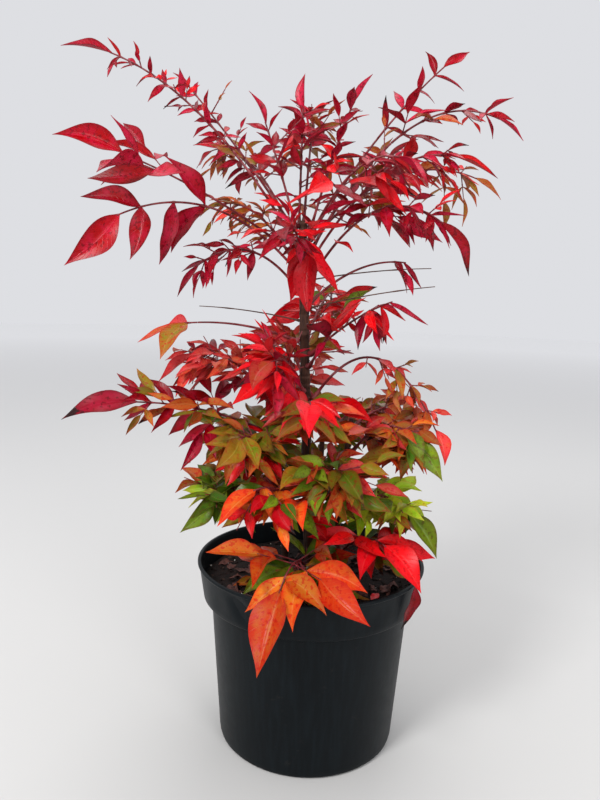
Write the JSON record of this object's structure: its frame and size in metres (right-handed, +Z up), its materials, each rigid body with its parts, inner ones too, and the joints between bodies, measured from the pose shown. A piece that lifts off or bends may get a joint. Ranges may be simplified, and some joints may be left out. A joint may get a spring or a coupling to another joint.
{
  "type": "potted shrub",
  "caption": "Heavenly bamboo shrub in autumn red and green, with compound leaves on a leaning cane and short stems, standing in a black nursery pot.",
  "frame": {"origin": "centre of the pot's flat underside", "axes": "+Z up along the pot's axis, -Y towards the viewer of the picture, +X to the viewer's right"},
  "size_m": [0.3396, 0.2574, 0.5667],
  "materials": {
    "pot": "soft satin black",
    "compost": "damp and crumbly",
    "bark": "ridged bark",
    "rachis": "smooth thin stalk",
    "crimson_foliage": "satin leaf",
    "scarlet_foliage": "satin leaf",
    "salmon_foliage": "satin leaf",
    "orange_foliage": "satin leaf",
    "bronze_foliage": "satin leaf",
    "olive_foliage": "satin leaf",
    "green_foliage": "satin leaf",
    "lime_foliage": "satin leaf"
  },
  "bodies": {
    "root": {"pot": "pot", "soil": "compost", "cane": "bark", "stem_left": "bark", "stem_right": "bark", "stem_back": "bark", "stem_front": "bark", "bough_large_upper": "rachis", "bough_large_lower": "rachis", "bough_long_left": "rachis", "bough_second_left": "rachis", "bough_high_right": "rachis", "bough_far_right": "rachis", "bough_mid_right": "rachis", "bough_low_right": "rachis", "bough_bare_left": "rachis", "spray_large_upper": "crimson_foliage", "spray_large_lower": "crimson_foliage", "spray_long_left": "crimson_foliage", "spray_second_left": "crimson_foliage", "spray_high_right": "crimson_foliage", "spray_far_right": "crimson_foliage", "spray_mid_right": "crimson_foliage", "spray_low_right": "crimson_foliage", "spray_droop_left": "crimson_foliage", "spray_back_left": "crimson_foliage", "spray_back_right": "crimson_foliage", "spray_bare_left": "salmon_foliage", "spray_bare_right": "crimson_foliage", "spray_low_left_arm": "crimson_foliage", "spray_trailing_right": "salmon_foliage", "spray_front_middle": "crimson_foliage", "spray_column_front": "crimson_foliage", "spray_spill_front": "orange_foliage", "spray_spill_right": "scarlet_foliage", "spray_clasp_right": "crimson_foliage", "spray_upright_right": "crimson_foliage", "spray_top_left": "crimson_foliage", "spray_top_middle": "crimson_foliage", "spray_top_right": "crimson_foliage", "spray_front_high": "crimson_foliage", "spray_olive_right": "bronze_foliage", "spray_olive_left": "bronze_foliage", "spray_back_high": "crimson_foliage", "spray_red_top": "scarlet_foliage", "spray_red_left": "salmon_foliage", "spray_green_left": "green_foliage", "spray_green_middle": "olive_foliage", "spray_orange_front": "orange_foliage", "spray_red_front": "scarlet_foliage", "spray_olive_front": "olive_foliage", "spray_lime_right": "lime_foliage", "spray_orange_right": "orange_foliage", "spray_side_left": "olive_foliage", "spray_side_right": "bronze_foliage", "spray_rear_left": "salmon_foliage", "spray_rear_right": "olive_foliage", "spray_rear_middle": "scarlet_foliage", "spray_rear_red": "salmon_foliage", "spray_rear_low": "green_foliage"}
  },
  "joints": []
}
